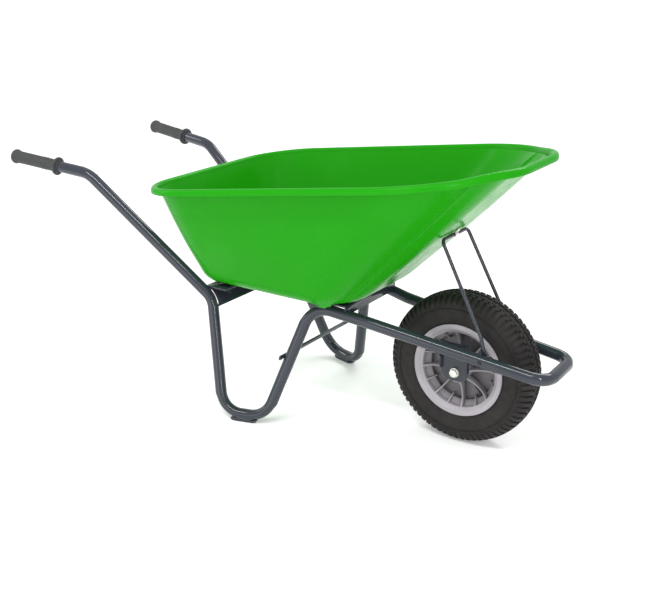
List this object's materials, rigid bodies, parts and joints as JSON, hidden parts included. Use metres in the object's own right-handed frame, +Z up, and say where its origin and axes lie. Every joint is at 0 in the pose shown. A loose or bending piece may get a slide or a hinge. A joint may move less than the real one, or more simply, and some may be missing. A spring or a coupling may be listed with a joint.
{
  "type": "wheelbarrow",
  "caption": "Garden wheelbarrow with a moulded plastic tray bolted to a bent tube frame, rubber grips and a pneumatic front wheel that spins.",
  "frame": {"origin": "on the ground under the middle of the overall length, in the centre plane", "axes": "+X forwards to the wheel, +Y to the user's left, +Z up"},
  "size_m": [1.5402, 0.6458, 0.7327],
  "materials": {
    "tray_plastic": "green moulded polyethylene, satin",
    "frame_paint": "anthracite powder coat on steel, semi-gloss",
    "grip_rubber": "grey soft plastic, fine texture",
    "rim_plastic": "light grey moulded plastic, satin",
    "tyre_rubber": "black rubber, matt, dusty tread",
    "tube_rubber": "black butyl rubber",
    "bush_nylon": "natural nylon",
    "zinc": "zinc plated steel"
  },
  "bodies": {
    "frame": {"tray": "tray_plastic", "frame_tube": "frame_paint", "grip_left": "grip_rubber", "grip_right": "grip_rubber", "foot_pad_left": "frame_paint", "foot_pad_right": "frame_paint", "rear_cross_member": "frame_paint", "front_cross_member": "frame_paint", "leg_brace": "frame_paint", "front_stay": "frame_paint", "stay_clip": "zinc", "stay_clip_bolts": "zinc", "stay_clip_nuts": "zinc", "stay_foot_bolts": "frame_paint", "stay_foot_nuts": "frame_paint", "axle_bracket_left": "frame_paint", "axle_bracket_right": "frame_paint", "axle_bolt": "zinc", "axle_nut": "zinc", "axle_washers": "zinc", "axle_sleeve": "zinc", "thrust_washers": "zinc", "rear_tray_bolts": "zinc", "rear_tray_nuts": "zinc", "front_tray_bolts": "zinc", "front_tray_nuts": "zinc", "tray_washers": "zinc"},
    "wheel": {"rim": "rim_plastic", "tyre": "tyre_rubber", "inner_tube": "tube_rubber", "valve_stem": "tube_rubber", "valve_cap": "tube_rubber", "hub_bush_left": "bush_nylon", "hub_bush_right": "bush_nylon"}
  },
  "joints": [
    {"name": "wheel_spin", "type": "hinge", "parent": "frame", "child": "wheel", "pos_m": [0.51012, 0, 0.195], "axis": [0, 1, 0], "continuous": true}
  ]
}
